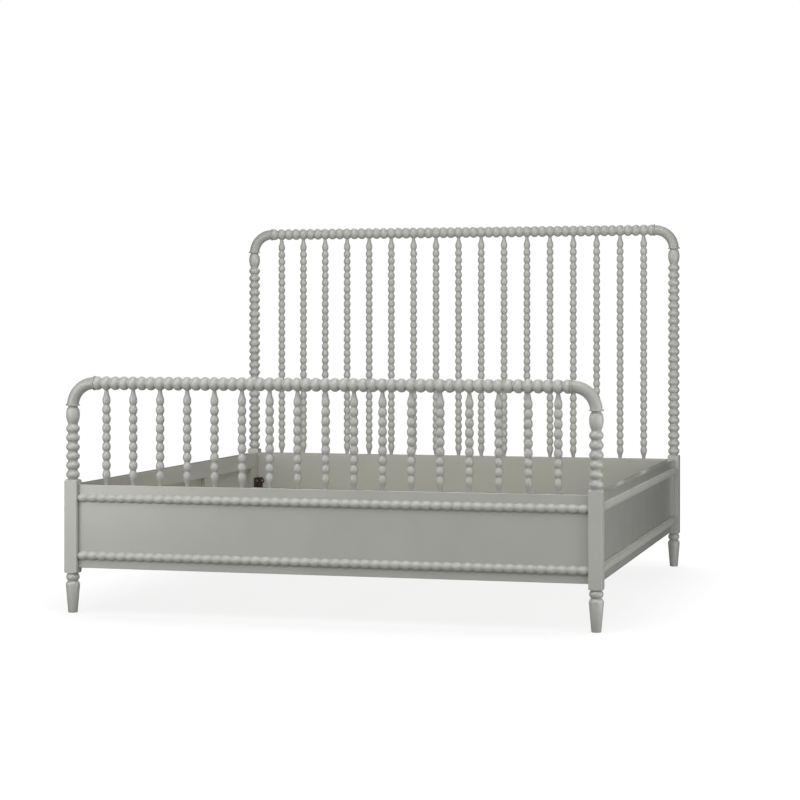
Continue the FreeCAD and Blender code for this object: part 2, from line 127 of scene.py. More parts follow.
# Boards, slats and webbing
BOARD_ARRIS = 0.8 * MM
PANEL_ROUND = 2.0 * MM
PANEL_TENON_LENGTH = 18.0 * MM
SIDE_TOP_RAIL = 69.5 * MM
SIDE_BOTTOM_RAIL = 67.5 * MM
SIDE_STILE = 92.0 * MM
STIFFENER_WIDTH = 164.0 * MM
STIFFENER_OFFSET = 389.0 * MM
SLATS = 14
SLAT_WIDTH = 70.0 * MM
SLAT_ROUND = 3.0 * MM
STRAP_WIDTH = 30.0 * MM
STRAP_ROUND = 0.6 * MM
STRAP_SAG = 2.5 * MM
PLATE_ARRIS = 0.5 * MM

# Screws
SCREW_RADIUS = 4.5 * MM
SCREW_FLAT_RADIUS = 1.8 * MM
SCREW_HEIGHT = 2.4 * MM
SCREW_BULGE_SHARE = 0.7
SCREW_STUB = 1.0 * MM
SCREW_STUB_RADIUS = 2.0 * MM
SLOT_LENGTH = 5.0 * MM
SLOT_WIDTH = 1.1 * MM
SLOT_DEPTH = 1.2 * MM

# Finishes: spacing, length and depth of each pattern
GRAIN_SPACING = 2.5 * MM
GRAIN_LENGTH = 90.0 * MM
PEEL_SPACING = 1.6 * MM
RIPPLE_DEPTH = 0.15 * MM
COAT_PATCH = 125.0 * MM
GROWTH_SPACING = 9.0 * MM
GROWTH_LENGTH = 250.0 * MM
TONE_WIDTH = 110.0 * MM
TONE_LENGTH = 3300.0 * MM
PORE_SPACING = 0.6 * MM
PORE_LENGTH = 33.0 * MM
PORE_DEPTH = 0.2 * MM
PEBBLE_SIZE = 0.9 * MM
PEBBLE_DEPTH = 0.2 * MM
CLOUD_SIZE = 2.0 * MM
YARN_SPACING = 1.6 * MM
YARN_SLANT = math.radians(40)
HERRINGBONE_WIDTH = 6.0 * MM
YARN_DEPTH = 0.4 * MM
FLOOR_SHADE_REACH = 900.0 * MM
# A wave texture of scale 1 repeats after this many metres
WAVE_LENGTH = math.tau / 20
# Paint where it is thin and where it is thick, its roughness and the strength of its ripple
# The turnings' paint is a shade paler than the boards': painted light, for the brighter look of the curved
# turnings in this light
TURNED_PAINT = ("#B1B2AC", "#A9AAA5", 0.3, 0.2)
BOARD_PAINT = ("#ACADA6", "#A4A59F", 0.17, 0.03)

# Fineness of the meshes
STEP = 0.02 * MM
WELD = 0.01 * MM
ROUND_SIDES = 32
SPINDLE_SIDES = 18
HALF_ROUND_SIDES = 12
BEAD_STEPS = 9
SPINDLE_BEAD_STEPS = 6
COVE_STEPS = 4
CORNER_STEPS = 4
ELBOW_STEPS = 36
STRAP_STEPS = 8
EDGE_STEPS = 3
ARRIS_STEPS = 2
CREASE = math.radians(32)
ARC_MID_SHARE = 1 - math.sqrt(0.5)

# Camera, fitted to the edges of posts, rails and panels in the photo
CAMERA_PLACE = (2.206012, -8.241936, 1.066410)
CAMERA_TURN = math.radians(14.98457)
CAMERA_LENS = 92.668
CAMERA_SHIFT_Y = -0.08784

# Floor and light
FLOOR_SIZE = 60.0
LIGHT_AIM = (0.0, -0.4, 0.5)
# Each softbox's place and width, and its power in watts
SOFTBOXES = {
    "key": ((-2.8, -3.6, 1.3), 2.6, 75.0),
    "right": ((3.6, -3.0, 1.6), 3.0, 37.0),
    "low right": ((3.6, -1.2, 0.7), 2.2, 47.0),
    "front top": ((0.0, -3.0, 4.0), 3.6, 134.0),
    "overhead": ((0.0, 0.2, 4.0), 3.6, 34.0),
    "behind": ((0.0, 4.2, 3.4), 2.8, 65.0),
    "behind left": ((-4.0, 4.0, 1.6), 3.2, 130.0),
}
# Softboxes that light the back without showing as glints in the paint
GLINT_FREE = ("behind left",)
# The way to each bright side of the surroundings, and its brightness
SKY_SIDES = {
    "right": ((0.85, -0.3, 0.43), 0.1),
    "front": ((0.0, -0.95, 0.3), 0.1),
    "floor": ((0.0, 0.0, -1.0), 0.415),
}


class Outline:
    """A lathe outline as (distance along the axis, radius) points, its arcs drawn as short chords."""

    def __init__(self, along, radius):
        self.points = [(along, radius)]

    def line(self, along, radius):
        self.points.append((max(along, self.points[-1][0] + STEP), radius))

    def arc(self, middle, end, steps):
        """A circular arc from the last point through the middle to the end."""
        start = self.points[-1]
        centre = circle_centre(start, middle, end)
        first, last = (math.atan2(p[1] - centre[1], p[0] - centre[0]) for p in (start, end))
        way = 1 if turns_left(start, middle, end) else -1
        sweep_angle = way * ((way * (last - first)) % math.tau)
        reach = math.dist(centre, end)
        for step in range(1, steps + 1):
            angle = first + sweep_angle * step / steps
            self.points.append((centre[0] + reach * math.cos(angle), centre[1] + reach * math.sin(angle)))

    def beads(self, start, pitch, count, crest, flank, neck, cove, steps):
        """Round beads with coved necks between them, from the first bead's flank to the last one's."""
        for number in range(count):
            base = start + number * pitch
            if number > 0:
                self.arc((base, neck), (base + cove, flank), COVE_STEPS)
            self.arc((base + pitch / 2, crest), (base + pitch - cove, flank), steps)


def turns_left(start, middle, end):
    return (middle[0] - start[0]) * (end[1] - middle[1]) > (middle[1] - start[1]) * (end[0] - middle[0])


def circle_centre(start, middle, end):
    """Centre of the circle through three points of a plane."""
    (ax, ay), (bx, by), (cx, cy) = start, middle, end
    twice = 2 * (ax * (by - cy) + bx * (cy - ay) + cx * (ay - by))
    a, b, c = ax * ax + ay * ay, bx * bx + by * by, cx * cx + cy * cy
    x = (a * (by - cy) + b * (cy - ay) + c * (ay - by)) / twice
    y = (a * (cx - bx) + b * (ax - cx) + c * (bx - ax)) / twice
    return x, y


def fitted(length, pitch):
    """How many beads of about this pitch fill a length, and the pitch that fills it exactly."""
    count = max(1, round(length / pitch))
    return count, length / count


def middle_of(node):
    low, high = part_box(node)
    return (low + high) / 2


def socket(sockets, name):
    """A node's socket by its number, or the one in use with that name."""
    if isinstance(name, int):
        return sockets[name]
    return next(s for s in sockets if s.name == name and s.enabled)


def add(tree, kind, inputs=None, **settings):
    """Adds a node with its settings, and sets its inputs or links them to a socket or a node's first output
    in use."""
    node = tree.nodes.new(kind)
    for name, value in settings.items():
        setattr(node, name, value)
    for name, value in (inputs or {}).items():
        if isinstance(value, bpy.types.Node):
            value = next(s for s in value.outputs if s.enabled)
        if isinstance(value, bpy.types.NodeSocket):
            tree.links.new(value, socket(node.inputs, name))
        else:
            socket(node.inputs, name).default_value = value
    return node


def linear(hex_colour):
    """An sRGB hex colour as linear RGBA."""
    parts = [int(hex_colour[place:place + 2], 16) / 255 for place in (1, 3, 5)]
    return [v / 12.92 if v <= 0.04045 else ((v + 0.055) / 1.055) ** 2.4 for v in parts] + [1.0]


# Materials


def new_material(name):
    """An empty material, its node tree and the object's own coordinates in metres."""
    material = bpy.data.materials.new(name)
    material.use_nodes = True
    tree = material.node_tree
    tree.nodes.clear()
    return material, tree, add(tree, "ShaderNodeTexCoord").outputs["Object"]


def enamel(name, grain_axis, thin, thick, roughness, ripple):
    """Satin grey-green enamel on hardwood: an even colour, save for painted shade in the necks between beads,
    and a soft sheen, with faint orange peel and grain that shows through as a fine ripple along the wood."""
    material, tree, place = new_material(name)
    # Grain is drawn coarser than it is in the wood, so that it shows
    stretch = [1 / GRAIN_SPACING] * len(AXES)
    stretch[AXES.index(grain_axis)] = 1 / GRAIN_LENGTH
    along = add(tree, "ShaderNodeMapping", {"Vector": place, "Scale": stretch})
    grain = add(tree, "ShaderNodeTexNoise", {"Vector": along, "Scale": 1.0, "Detail": 3.0})
    peel = add(tree, "ShaderNodeTexNoise", {"Vector": place, "Scale": 1 / PEEL_SPACING, "Detail": 1.0})
    # Sprayed coats differ a little from place to place
    coat = add(tree, "ShaderNodeTexNoise", {"Vector": place, "Scale": 1 / COAT_PATCH, "Detail": 2.0})
    coats = {"Factor": coat, "A": linear(thick), "B": linear(thin)}
    shade = add(tree, "ShaderNodeMix", coats, data_type="RGBA")
    # Painted shade: the necks between the beads are painted darker, where shade falls between them
    hollow = add(tree, "ShaderNodeAttribute", attribute_name="hollow")
    painted_neck_shade = add(tree, "ShaderNodeMapRange", {"Value": hollow.outputs["Fac"], "To Max": 0.5})
    necks = {"Factor": painted_neck_shade, "A": shade, "B": linear("#94958E")}
    colour = add(tree, "ShaderNodeMix", necks, data_type="RGBA")
    gloss = add(tree, "ShaderNodeMapRange", {"Value": coat, "To Min": roughness, "To Max": roughness + 0.06})
    height = add(tree, "ShaderNodeMix", {"Factor": 0.45, "A": grain, "B": peel})
    bump = add(tree, "ShaderNodeBump", {"Height": height, "Strength": ripple, "Distance": RIPPLE_DEPTH})
    look = {"Base Color": colour, "Roughness": gloss, "Normal": bump, "IOR": 1.5}
    shader = add(tree, "ShaderNodeBsdfPrincipled", look)
    add(tree, "ShaderNodeOutputMaterial", {"Surface": shader})
    return material


def enamels(pieces, paint):
    """The paint of one kind of pieces, with its grain along each axis."""
    names = {axis: f"satin enamel on {pieces}, grain along {axis}" for axis in AXES}
    return {axis: enamel(name, axis, *paint) for axis, name in names.items()}


def pine():
    """Planed, unfinished pine: pale straw-coloured wood with darker growth lines along the board, and a dry
    surface."""
    material, tree, place = new_material("planed pine")
    growth = (1 / GROWTH_LENGTH, 1 / GROWTH_SPACING, 1 / GROWTH_SPACING)
    along = add(tree, "ShaderNodeMapping", {"Vector": place, "Scale": growth})
    lines = add(tree, "ShaderNodeTexNoise", {"Vector": along, "Scale": 1.0, "Detail": 4.0, "Distortion": 0.8})
    bands = add(tree, "ShaderNodeMapRange", {"Value": lines, "From Min": 0.38, "From Max": 0.66})
    # Each board has its own tone
    spread = (1 / TONE_LENGTH, 1 / TONE_WIDTH, 1 / TONE_LENGTH)
    apart = add(tree, "ShaderNodeMapping", {"Vector": place, "Scale": spread})
    tone = add(tree, "ShaderNodeTexNoise", {"Vector": apart, "Scale": 1.0, "Detail": 0.0})
    tones = {"Factor": tone, "A": linear("#E6DCC8"), "B": linear("#DCCFB6")}
    early = add(tree, "ShaderNodeMix", tones, data_type="RGBA")
    rings = {"Factor": bands, "A": early, "B": linear("#C8B593")}
    colour = add(tree, "ShaderNodeMix", rings, data_type="RGBA")
    # Pores are drawn coarser than real ones, so that they show
    fine = (1 / PORE_LENGTH, 1 / PORE_SPACING, 1 / PORE_SPACING)
    fibre = add(tree, "ShaderNodeMapping", {"Vector": place, "Scale": fine})
    pores = add(tree, "ShaderNodeTexNoise", {"Vector": fibre, "Scale": 1.0, "Detail": 2.0})
    bump = add(tree, "ShaderNodeBump", {"Height": pores, "Strength": 0.3, "Distance": PORE_DEPTH})
    dry = add(tree, "ShaderNodeMapRange", {"Value": bands, "To Min": 0.72, "To Max": 0.6})
    look = {"Base Color": colour, "Roughness": dry, "Normal": bump, "IOR": 1.5}
    shader = add(tree, "ShaderNodeBsdfPrincipled", look)
    add(tree, "ShaderNodeOutputMaterial", {"Surface": shader})
    return material


def powder_coat():
    """Dark bronze powder coat on steel plate: nearly black brown with a fine pebbled skin."""
    material, tree, place = new_material("bronze powder coat")
    pebble = add(tree, "ShaderNodeTexNoise", {"Vector": place, "Scale": 1 / PEBBLE_SIZE, "Detail": 1.0})
    browns = {"Factor": pebble, "A": linear("#2A221D"), "B": linear("#3B312A")}
    colour = add(tree, "ShaderNodeMix", browns, data_type="RGBA")
    rough = add(tree, "ShaderNodeMapRange", {"Value": pebble, "To Min": 0.42, "To Max": 0.6})
    bump = add(tree, "ShaderNodeBump", {"Height": pebble, "Strength": 0.35, "Distance": PEBBLE_DEPTH})
    look = {"Base Color": colour, "Roughness": rough, "Normal": bump, "IOR": 1.5}
    shader = add(tree, "ShaderNodeBsdfPrincipled", look)
    add(tree, "ShaderNodeOutputMaterial", {"Surface": shader})
    return material


def zinc():
    """Zinc-plated screw steel: bright grey metal with cloudy patches."""
    material, tree, place = new_material("zinc plated steel")
    cloud = add(tree, "ShaderNodeTexNoise", {"Vector": place, "Scale": 1 / CLOUD_SIZE, "Detail": 2.0})
    greys = {"Factor": cloud, "A": linear("#C9C8C2"), "B": linear("#A9A8A4")}
    colour = add(tree, "ShaderNodeMix", greys, data_type="RGBA")
    rough = add(tree, "ShaderNodeMapRange", {"Value": cloud, "To Min": 0.26, "To Max": 0.42})
    look = {"Base Color": colour, "Roughness": rough, "Metallic": 1.0}
    shader = add(tree, "ShaderNodeBsdfPrincipled", look)
    add(tree, "ShaderNodeOutputMaterial", {"Surface": shader})
    return material


def cotton_tape():
    """Woven cotton tape: off-white herringbone of thick yarns with a soft fuzz."""
    material, tree, place = new_material("woven cotton tape")
    # Yarns cross the tape at a slant, in rows as wide as the herringbone, and are drawn thicker than real
    # ones, so that they show
    slant = add(tree, "ShaderNodeMapping", {"Vector": place, "Rotation": (0, 0, YARN_SLANT)})
    yarns = {"Vector": slant, "Scale": WAVE_LENGTH / YARN_SPACING, "Distortion": 1.0}
    yarn = add(tree, "ShaderNodeTexWave", yarns)
    rows = {"Vector": place, "Scale": WAVE_LENGTH / HERRINGBONE_WIDTH}
    cross = add(tree, "ShaderNodeTexWave", rows, wave_profile="TRI")
    crossing = {"Factor": cross.outputs["Fac"], "A": yarn.outputs["Fac"], "B": 0.5}
    weave = add(tree, "ShaderNodeMix", crossing)
    tones = {"Factor": weave, "A": linear("#B9B3A2"), "B": linear("#DAD5C7")}
    colour = add(tree, "ShaderNodeMix", tones, data_type="RGBA")
    bump = add(tree, "ShaderNodeBump", {"Height": weave, "Strength": 0.6, "Distance": YARN_DEPTH})
    look = {"Base Color": colour, "Roughness": 0.92, "Normal": bump, "Sheen Weight": 0.3}
    shader = add(tree, "ShaderNodeBsdfPrincipled", look)
    add(tree, "ShaderNodeOutputMaterial", {"Surface": shader})
    return material


def studio_floor():
    """A pale floor that glows white, with painted shadow: its glow is dimmed where something stands over it
    or near it.
    """
    material, tree, _ = new_material("pale studio floor")
    # Painted shadow: the glow fades where the bed stands over or near the floor
    reach = add(tree, "ShaderNodeAmbientOcclusion", {"Distance": FLOOR_SHADE_REACH}, samples=16)
    spread = {"Value": reach.outputs["AO"], "From Min": 0.5, "To Min": 0.85, "To Max": 1.0}
    white = add(tree, "ShaderNodeMapRange", spread, interpolation_type="SMOOTHSTEP")
    glow = {"Emission Color": linear("#FFFFFF"), "Emission Strength": white}
    look = {"Base Color": linear("#303030"), "Roughness": 0.9, **glow}
    shader = add(tree, "ShaderNodeBsdfPrincipled", look)
    add(tree, "ShaderNodeOutputMaterial", {"Surface": shader})
    return material


# Geometry nodes


def new_tree(name, inputs):
    """An empty geometry tree with named inputs, and its input sockets."""
    tree = bpy.data.node_groups.new(name, "GeometryNodeTree")
    for socket_name, kind in inputs.items():
        tree.interface.new_socket(socket_name, in_out="INPUT", socket_type=f"NodeSocket{kind}")
    tree.interface.new_socket("Geometry", in_out="OUTPUT", socket_type="NodeSocketGeometry")
    return tree, add(tree, "NodeGroupInput").outputs


def end_tree(tree, instances, material):
    """Makes the instances real and gives them their material."""
    real = add(tree, "GeometryNodeRealizeInstances", {"Geometry": instances})
    painted = add(tree, "GeometryNodeSetMaterial", {"Geometry": real, "Material": material})
    add(tree, "NodeGroupOutput", {"Geometry": painted})
    return tree


def sweep_tree():
    """Sweeps a section along a path, scaled by the path's radius, and sets copies of it in a row."""
    inputs = {
        "Path": "Object",
        "Section": "Object",
        "Crest radius": "Float",
        "Neck radius": "Float",
        "Crease angle": "Float",
        "Copies": "Int",
        "Spacing": "Vector",
        "Material": "Material",
    }
    tree, given = new_tree("swept piece in a row", inputs)
    path = add(tree, "GeometryNodeObjectInfo", {"Object": given["Path"]})
    profile = add(tree, "GeometryNodeObjectInfo", {"Object": given["Section"]})
    radius = add(tree, "GeometryNodeInputRadius")
    # How deep each ring lies between crest and neck, kept for the enamel's painted shade in the necks
    span = {"From Min": given["Neck radius"], "From Max": given["Crest radius"], "To Min": 1.0, "To Max": 0.0}
    depth = add(tree, "ShaderNodeMapRange", {"Value": radius, **span})
    mark = {"Geometry": path.outputs["Geometry"], "Name": "hollow", "Value": depth}
    marked = add(tree, "GeometryNodeStoreNamedAttribute", mark, data_type="FLOAT", domain="POINT")
    drawn = {"Profile Curve": profile.outputs["Geometry"], "Scale": radius, "Fill Caps": True}
    swept = add(tree, "GeometryNodeCurveToMesh", {"Curve": marked, **drawn})
    smooth = add(tree, "GeometryNodeSetShadeSmooth", {"Geometry": swept}, domain="FACE")
    bent = add(tree, "GeometryNodeInputMeshEdgeAngle").outputs["Unsigned Angle"]
    limit = {"A": bent, "B": given["Crease angle"]}
    sharp = add(tree, "FunctionNodeCompare", limit, operation="GREATER_THAN")
    creases = {"Geometry": smooth, "Selection": sharp, "Shade Smooth": False}
    creased = add(tree, "GeometryNodeSetShadeSmooth", creases, domain="EDGE")
    line = {"Count": given["Copies"], "Offset": given["Spacing"]}
    places = add(tree, "GeometryNodeMeshLine", line, mode="OFFSET")
    row = add(tree, "GeometryNodeInstanceOnPoints", {"Points": places, "Instance": creased})
    return end_tree(tree, row, given["Material"])


def scatter_tree():
    """Sets copies of an object on points, each turned to its point's outward direction."""
    inputs = {"Points": "Object", "Copied": "Object", "Material": "Material"}
    tree, given = new_tree("copies on points", inputs)
    points = add(tree, "GeometryNodeObjectInfo", {"Object": given["Points"]})
    copied = add(tree, "GeometryNodeObjectInfo", {"Object": given["Copied"]})
    outward = add(tree, "GeometryNodeInputNamedAttribute", {"Name": "outward"}, data_type="FLOAT_VECTOR")
    turn = add(tree, "FunctionNodeAlignRotationToVector", {"Vector": outward}, axis="Z")
    spots = {"Points": points.outputs["Geometry"], "Instance": copied.outputs["Geometry"], "Rotation": turn}
    row = add(tree, "GeometryNodeInstanceOnPoints", spots)
    return end_tree(tree, row, given["Material"])


def link(thing):
    bpy.context.scene.collection.objects.link(thing)
    return thing


def grown(name, tree, values):
    """Runs a geometry tree once with these inputs and keeps its result as a plain mesh."""
    maker = link(bpy.data.objects.new(name, bpy.data.meshes.new(name)))
    modifier = maker.modifiers.new("grow", "NODES")
    modifier.node_group = tree
    for item in tree.interface.items_tree:
        if item.in_out == "INPUT":
            modifier[item.identifier] = values[item.name]
    shown = maker.evaluated_get(bpy.context.evaluated_depsgraph_get())
    mesh = bpy.data.meshes.new_from_object(shown)
    maker.modifiers.clear()
    bpy.data.objects.remove(maker)
    return mesh


def drawn_curve(points, radii, cyclic=False):
    """A helper curve through points, each with its own radius."""
    curve = bpy.data.curves.new("helper", "CURVE")
    curve.dimensions = "3D"
    spline = curve.splines.new("POLY")
    spline.points.add(len(points) - 1)
    for point, place, radius in zip(spline.points, points, radii):
        point.co = (*place, 1)
        point.radius = radius
    spline.use_cyclic_u = cyclic
    return link(bpy.data.objects.new("helper", curve))


def section(points):
    return drawn_curve([(x, y, 0) for x, y in points], [1] * len(points), cyclic=True)


def round_section(sides):
    """A circle of radius one, which the path's radius then scales."""
    turns = [math.tau * side / sides for side in range(sides)]
    return section([(math.cos(turn), math.sin(turn)) for turn in turns])


def half_round_section(sides, back_share):
    """The part of a unit circle in front of a flat back."""
    limit = math.acos(back_share)
    turns = [limit * (2 * side / sides - 1) for side in range(sides + 1)]
    return section([(math.cos(turn), math.sin(turn)) for turn in turns])


def board_section(width, height, corner_round):
    """A rectangle with rounded corners."""
    points = []
    for quarter in range(4):
        diagonal = math.pi / 4 + quarter * math.pi / 2
        x = math.copysign(width / 2 - corner_round, math.cos(diagonal))
        y = math.copysign(height / 2 - corner_round, math.sin(diagonal))
        for step in range(CORNER_STEPS + 1):
            turn = math.pi / 2 * (quarter + step / CORNER_STEPS)
            points.append((x + corner_round * math.cos(turn), y + corner_round * math.sin(turn)))
    return section(points)


def sweep(name, places, radii, shape, material, crest=1.0, neck=0.0, copies=1, spacing=(0, 0, 0)):
    """A section swept along places that have these radii, as a mesh."""
    path = drawn_curve(places, radii)
    values = {
        "Path": path,
        "Section": shape,
        "Crest radius": crest,
        "Neck radius": neck,
        "Crease angle": CREASE,
        "Copies": copies,
        "Spacing": spacing,
        "Material": material,
    }
    mesh = grown(name, SWEEP, values)
    bpy.data.objects.remove(path)
    return mesh


def piece(name, mesh, replaced, body=FRAME_BODY):
    """Puts a finished mesh in the scene, riding on its body in place of these nodes."""
    made = link(bpy.data.objects.new(name, mesh))
    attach(made, body)
    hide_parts(*replaced)
    return made


# Posts


def post_outline(seat):
    """Leg, core inside the block, beaded column and vase of one post, up to its elbow."""
    ring_end = BLOCK_BOTTOM - LEG_RING_GAP
    ring_start = ring_end - LEG_RING_LENGTH
    shoulder_end = ring_start - 2 * LEG_COVE
    shoulder = shoulder_end - LEG_SHOULDER_RISE
    bulge = LEG_FLANK_RADIUS + (LEG_SHOULDER_RADIUS - LEG_FLANK_RADIUS) * LEG_BULGE_SHARE
    tip_mid = LEG_TIP_ROUND * ARC_MID_SHARE
    turning = Outline(0, LEG_TIP_RADIUS - LEG_TIP_ROUND)
    turning.arc((tip_mid, LEG_TIP_RADIUS - tip_mid), (LEG_TIP_ROUND, LEG_TIP_RADIUS), CORNER_STEPS)
    turning.line(shoulder, LEG_SHOULDER_RADIUS)
    bulge_at = shoulder + LEG_SHOULDER_RISE * LEG_BULGE_SHARE
    turning.arc((bulge_at, bulge), (shoulder_end, LEG_FLANK_RADIUS), BEAD_STEPS)
    turning.arc((shoulder_end + LEG_COVE, LEG_NECK_RADIUS), (ring_start, LEG_FLANK_RADIUS), COVE_STEPS)
    ring_crest = ring_start + LEG_RING_LENGTH / 2
    turning.arc((ring_crest, LEG_RING_RADIUS), (ring_end, LEG_FLANK_RADIUS), BEAD_STEPS)
    turning.line(BLOCK_BOTTOM, LEG_NECK_RADIUS)
    turning.line(BLOCK_BOTTOM + STEP, COLUMN_NECK)
    start = BLOCK_TOP + COLUMN_START_GAP
    end = seat - VASE_TOP_NECK - VASE_LENGTH
    count, pitch = fitted(end - start, COLUMN_PITCH)
    turning.line(start, COLUMN_NECK)
    turning.line(start + COLUMN_COVE, COLUMN_FLANK)
    turning.beads(start, pitch, count, COLUMN_CREST, COLUMN_FLANK, COLUMN_NECK, COLUMN_COVE, BEAD_STEPS)
    turning.arc((end, COLUMN_NECK), (end + VASE_COVE, VASE_FLANK), COVE_STEPS)
    vase_end = end + VASE_LENGTH
    vase_crest = (end + VASE_LENGTH * VASE_CREST_SHARE, COLUMN_CREST)
    turning.arc(vase_crest, (vase_end - VASE_SHOULDER_DROP, VASE_SHOULDER), 2 * BEAD_STEPS)
    turning.line(vase_end, COLUMN_NECK)
    turning.line(seat, COLUMN_NECK)
    return turning.points


def block_ring(limit):
    """One ring of the square block, with its corners cut back to a turned radius."""
    corner = BLOCK_HALF * math.sqrt(2) - BLOCK_ARRIS * (math.sqrt(2) - 1)
    ring = []
    for quarter in range(4):
        turn = Matrix.Rotation(quarter * math.pi / 2, 2)
        for share in BLOCK_SIDE_SHARES:
            spot = Vector((BLOCK_HALF, BLOCK_HALF * share))
            ring.append(turn @ spot * min(1.0, min(limit, corner) / spot.length))
    return ring


def block_rows():
    """Heights of the block's rings and the radius that its corners are turned to."""
    corner = BLOCK_HALF * math.sqrt(2)
    bulge = BLOCK_FLAT_RADIUS + (corner - BLOCK_FLAT_RADIUS) * BLOCK_CORNER_BULGE_SHARE
    drop = BLOCK_CORNER_DROP * (1 - BLOCK_CORNER_BULGE_SHARE)
    end = Outline(BLOCK_BOTTOM, BLOCK_FLAT_RADIUS)
    end.arc((BLOCK_BOTTOM + drop, bulge), (BLOCK_BOTTOM + BLOCK_CORNER_DROP, corner), 2 * BEAD_STEPS)
    top = [(BLOCK_BOTTOM + BLOCK_TOP - along, radius) for along, radius in reversed(end.points)]
    return end.points + top


def add_block(mesh, x, y):
    """Joins the square block to a turned post."""
    work = bmesh.new()
    work.from_mesh(mesh)
    rings = []
    for along, radius in block_rows():
        rings.append([work.verts.new((x + spot.x, y + spot.y, along)) for spot in block_ring(radius)])
    count = len(rings[0])
    faces = [work.faces.new(rings[0][::-1]), work.faces.new(rings[-1])]
    for under, over in zip(rings, rings[1:]):
        for side in range(count):
            after = (side + 1) % count
            faces.append(work.faces.new((under[side], under[after], over[after], over[side])))
    for face in faces:
        face.smooth = True
    work.to_mesh(mesh)
    work.free()
    mesh.set_sharp_from_angle(angle=CREASE)


def make_posts(shape, paint):
    for end in ENDS:
        for side in SIDES:
            node = f"{end}_post_{side}"
            x, y, _ = middle_of(node)
            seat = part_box(node)[1].z - POST_TENON_LENGTH
            outline = post_outline(seat)
            places = [(x, y, along) for along, _ in outline]
            radii = [radius for _, radius in outline]
            mesh = sweep(node, places, radii, shape, paint, COLUMN_CREST, COLUMN_NECK)
            add_block(mesh, x, y)
            piece(f"turned_{node}", mesh, [node])


# Elbows and rails


def collar_outline(start):
    """A thin disc with rounded edges."""
    end = start + COLLAR_LENGTH
    near = COLLAR_ROUND * ARC_MID_SHARE
    disc = Outline(start, COLLAR_RADIUS - COLLAR_ROUND)
    disc.arc((start + near, COLLAR_RADIUS - near), (start + COLLAR_ROUND, COLLAR_RADIUS), CORNER_STEPS)
    disc.line(end - COLLAR_ROUND, COLLAR_RADIUS)
    disc.arc((end - near, COLLAR_RADIUS - near), (end, COLLAR_RADIUS - COLLAR_ROUND), CORNER_STEPS)
    return disc.points


def elbow_outline():
    """A plain bend with a collar over its first stretch and another past its end."""
    bend = ELBOW_BEND * math.pi / 2
    plain = bend - COLLAR_LENGTH - 2 * STEP
    shares = [step / ELBOW_STEPS for step in range(ELBOW_STEPS + 1)]
    middle = [(COLLAR_LENGTH + STEP + plain * share, ELBOW_RADIUS) for share in shares]
    return collar_outline(0) + middle + collar_outline(bend)


def bent_place(along):
    """How far in and up a point of the bend lies from the post's top."""
    bend = ELBOW_BEND * math.pi / 2
    turn = min(along, bend) / ELBOW_BEND
    return ELBOW_BEND * (1 - math.cos(turn)) + max(0, along - bend), ELBOW_BEND * math.sin(turn)


def make_elbows(shape, paint):
    outline = elbow_outline()
    radii = [radius for _, radius in outline]
    for end in ENDS:
        for side, way in SIDES.items():
            node = f"{end}_elbow_{side}"
            post = middle_of(f"{end}_post_{side}")
            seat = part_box(node)[0].z
            places = []
            for along, _ in outline:
                inward, upward = bent_place(along)
                places.append((post.x - way * inward, post.y, seat + upward))
            # With no crest or neck to measure from, an elbow has the painted shade of the necks all over
            mesh = sweep(node, places, radii, shape, paint)
            piece(f"bent_{node}", mesh, [node])


def rail_outline(half, pitch):
    """A beaded rail whose outer beads run into the elbows' collars."""
    outer = (RAIL_BEADS - 1) / 2 * pitch
    reach = pitch / 2 - RAIL_COVE
    past = (half - outer) / reach
    end_radius = RAIL_CREST - (RAIL_CREST - RAIL_FLANK) * past * past
    turning = Outline(-half, end_radius)
    turning.arc((-outer, RAIL_CREST), (reach - outer, RAIL_FLANK), BEAD_STEPS)
    for number in range(1, RAIL_BEADS - 1):
        crest = number * pitch - outer
        turning.arc((crest - pitch / 2, RAIL_NECK), (crest - reach, RAIL_FLANK), COVE_STEPS)
        turning.arc((crest, RAIL_CREST), (crest + reach, RAIL_FLANK), BEAD_STEPS)
    turning.arc((outer - pitch / 2, RAIL_NECK), (outer - reach, RAIL_FLANK), COVE_STEPS)
    turning.arc((outer, RAIL_CREST), (half, end_radius), BEAD_STEPS)
    return turning.points


def make_rails(shape, paint):
    for end in ENDS:
        node = f"{end}_top_rail"
        middle = middle_of(node)
        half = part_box(node)[1].x - RAIL_TENON_LENGTH
        outline = rail_outline(half, spindle_step(end) / RAIL_BEADS_PER_SPINDLE)
        places = [(along, middle.y, middle.z) for along, _ in outline]
        radii = [radius for _, radius in outline]
        mesh = sweep(node, places, radii, shape, paint, RAIL_CREST, RAIL_NECK)
        piece(f"turned_{node}", mesh, [node])


# Spindles


def spindle_nodes(end):
    return [f"{end}_spindle_{number:02d}" for number in range(1, SPINDLES + 1)]


def spindle_step(end):
    nodes = spindle_nodes(end)
    return (middle_of(nodes[-1]).x - middle_of(nodes[0]).x) / (SPINDLES - 1)


